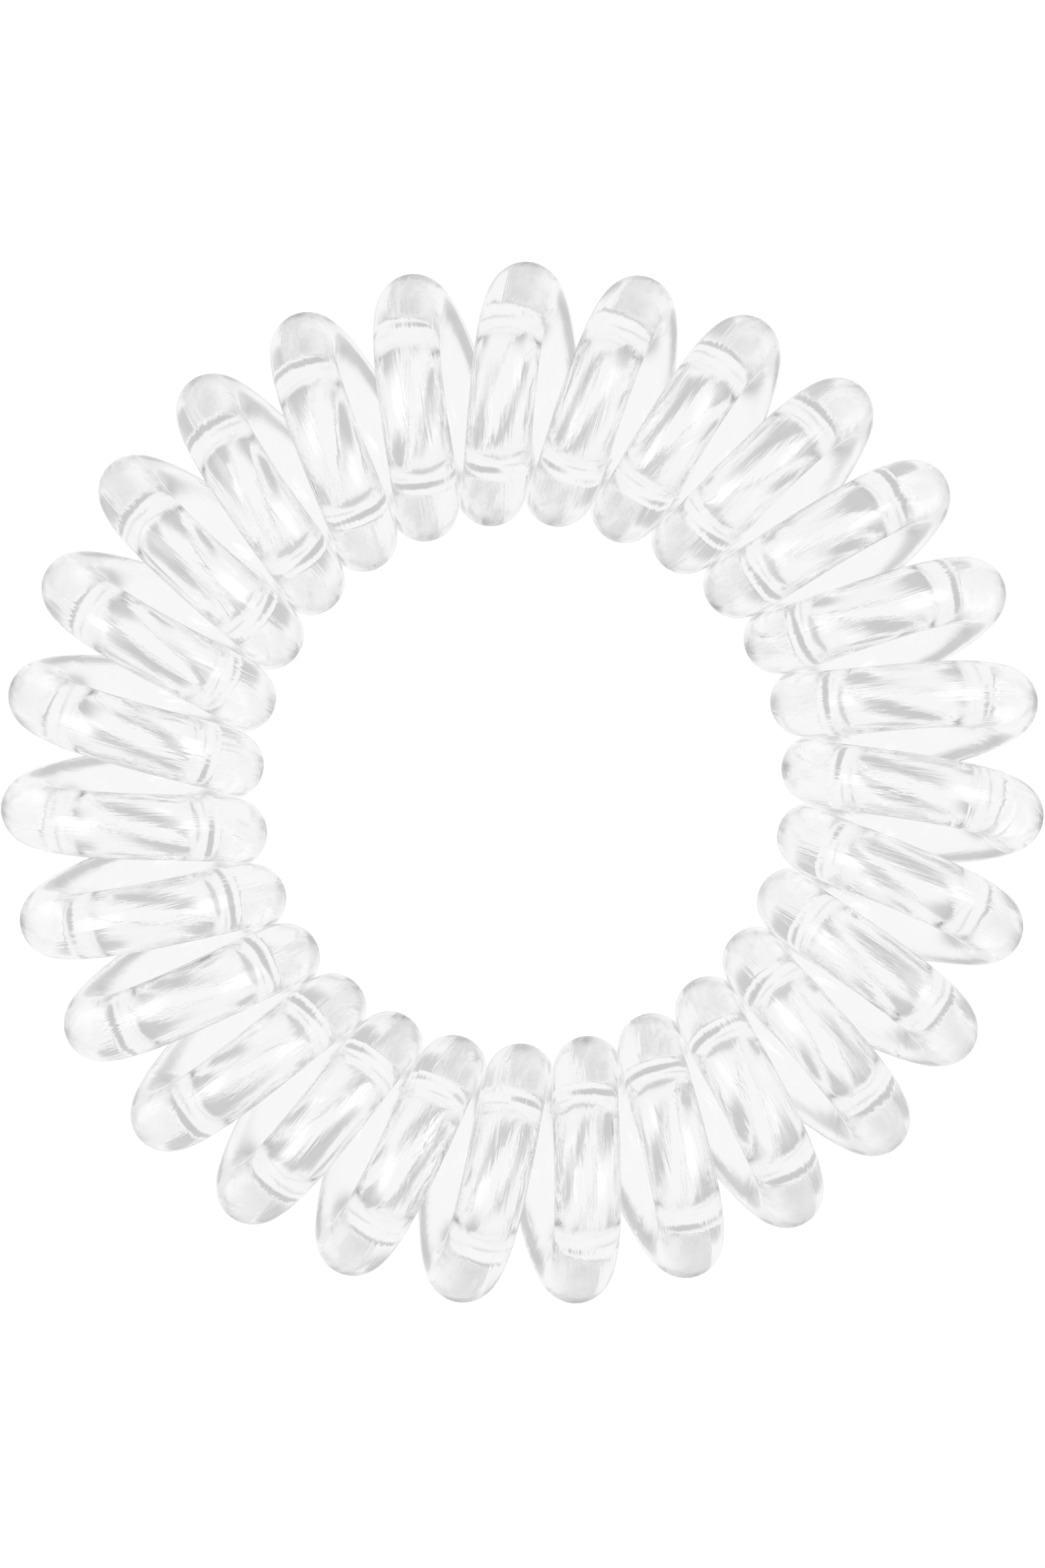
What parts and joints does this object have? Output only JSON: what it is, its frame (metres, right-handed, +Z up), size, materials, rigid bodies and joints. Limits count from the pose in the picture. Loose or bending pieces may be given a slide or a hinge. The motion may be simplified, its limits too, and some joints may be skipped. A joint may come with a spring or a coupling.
{
  "type": "spiral hair tie",
  "caption": "Clear spiral hair tie: one elastic wire wound as a closed ring of round coil turns, its ends welded together.",
  "frame": {"origin": "on the ring's axis, at the height of the surface that the ring lies on", "axes": "+Z up, along the axis of the ring, which lies flat; X and Y are in the plane of the ring, with the welded turn pointing close to +X"},
  "size_m": [0.04, 0.0399, 0.0101],
  "materials": {
    "clear_wire": "clear, glossy, faintly lined along the wire"
  },
  "bodies": {
    "root": {"coil": "clear_wire"}
  },
  "joints": []
}
